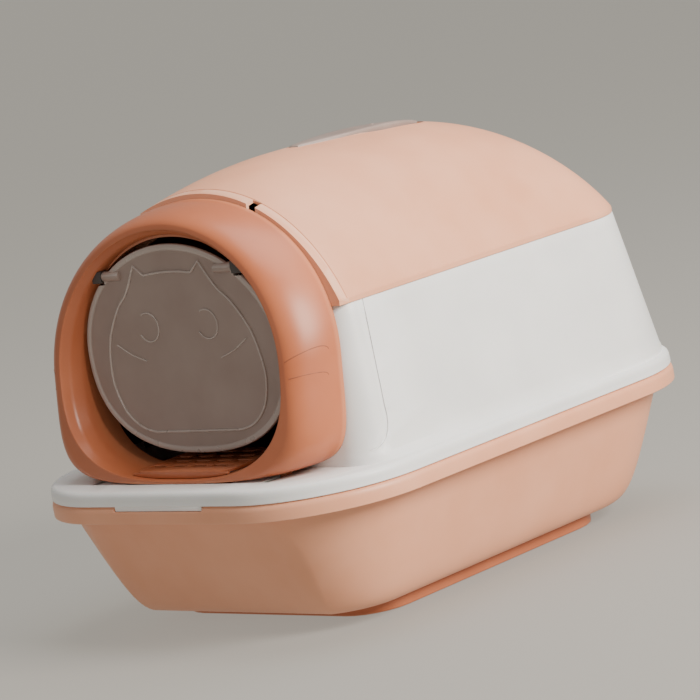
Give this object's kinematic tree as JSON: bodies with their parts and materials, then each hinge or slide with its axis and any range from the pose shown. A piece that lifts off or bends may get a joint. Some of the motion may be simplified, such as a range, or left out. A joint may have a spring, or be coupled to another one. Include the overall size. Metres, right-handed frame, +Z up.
{
  "type": "cat litter box with hood",
  "caption": "Hooded cat litter box: tray, walls with a round entrance ring and swinging smoky flap, and a domed hood with a carry handle.",
  "frame": {"origin": "middle of the floor area under the box", "axes": "+Z up, the entrance faces -Y, +X is to the right as seen from the entrance"},
  "size_m": [0.4, 0.52, 0.3841],
  "materials": {
    "peach_shell": "satin moulded polypropylene, peach",
    "terracotta_shell": "satin moulded polypropylene, terracotta",
    "white_shell": "satin moulded polypropylene, off-white",
    "smoky_plastic": "frosted translucent smoky plastic",
    "dark_fittings": "dark moulded nylon"
  },
  "bodies": {
    "tray": {"litter_tray": "peach_shell", "base_plate": "terracotta_shell"},
    "shell": {"middle_shell": "white_shell"},
    "ring": {"entrance_ring": "terracotta_shell", "step_grille": "terracotta_shell", "pin_bracket_left": "dark_fittings", "pin_bracket_right": "dark_fittings"},
    "flap": {"door_flap": "smoky_plastic", "hinge_pin_left": "dark_fittings", "hinge_pin_right": "dark_fittings"},
    "hood": {"hood": "peach_shell"},
    "handle": {"carry_handle": "smoky_plastic"}
  },
  "joints": [
    {"name": "shell_lift", "type": "slide", "parent": "tray", "child": "shell", "axis": [0, 0, 1], "range_m": [0, 0.06]},
    {"name": "ring_pull", "type": "slide", "parent": "shell", "child": "ring", "axis": [0, -1, 0], "range_m": [0, 0.022]},
    {"name": "flap_swing", "type": "hinge", "parent": "ring", "child": "flap", "pos_m": [0, -0.1935, 0.311], "axis": [1, 0, 0], "range_deg": [-75, 35]},
    {"name": "hood_lift", "type": "slide", "parent": "shell", "child": "hood", "axis": [0, 0.1483, 0.9889], "range_m": [0, 0.08]},
    {"name": "handle_lift", "type": "slide", "parent": "hood", "child": "handle", "axis": [0, 0, 1], "range_m": [0, 0.025]}
  ]
}
